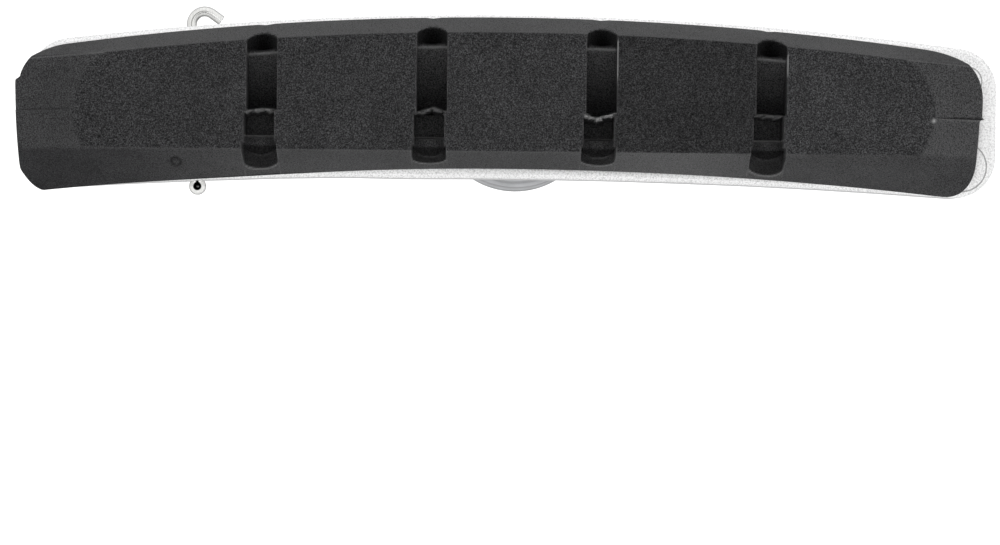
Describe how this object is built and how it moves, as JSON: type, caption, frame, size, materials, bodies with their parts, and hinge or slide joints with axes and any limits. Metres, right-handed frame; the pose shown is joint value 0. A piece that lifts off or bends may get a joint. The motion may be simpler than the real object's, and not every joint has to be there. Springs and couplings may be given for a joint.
{
  "type": "cartridge rim brake shoe",
  "caption": "Curved rim brake shoe: a grooved rubber insert slid into an aluminium channel and pinned there, on a threaded stud with ball washers and a socket nut.",
  "frame": {"origin": "on the stud's axis, where the brake arm lies on the inner cup washer", "axes": "+X along the shoe to its closed end, +Y along the stud away from the rim, +Z to the convex edge"},
  "size_m": [0.0715, 0.046, 0.0142],
  "materials": {
    "pad_rubber": "ground matte on the friction face, as moulded elsewhere",
    "holder_aluminium": "fine-blasted silver",
    "pin_wire": "bright drawn wire",
    "stud_steel": "bright zinc plated",
    "washer_steel": "turned, grey zinc plated"
  },
  "bodies": {
    "root": {"pad_insert": "pad_rubber", "pad_holder": "holder_aluminium", "retaining_pin": "pin_wire", "mounting_stud": "stud_steel", "inner_dome_washer": "washer_steel", "inner_cup_washer": "washer_steel", "outer_cup_washer": "washer_steel", "outer_dome_washer": "washer_steel", "nut_washer": "stud_steel", "stud_nut": "stud_steel"}
  },
  "joints": []
}
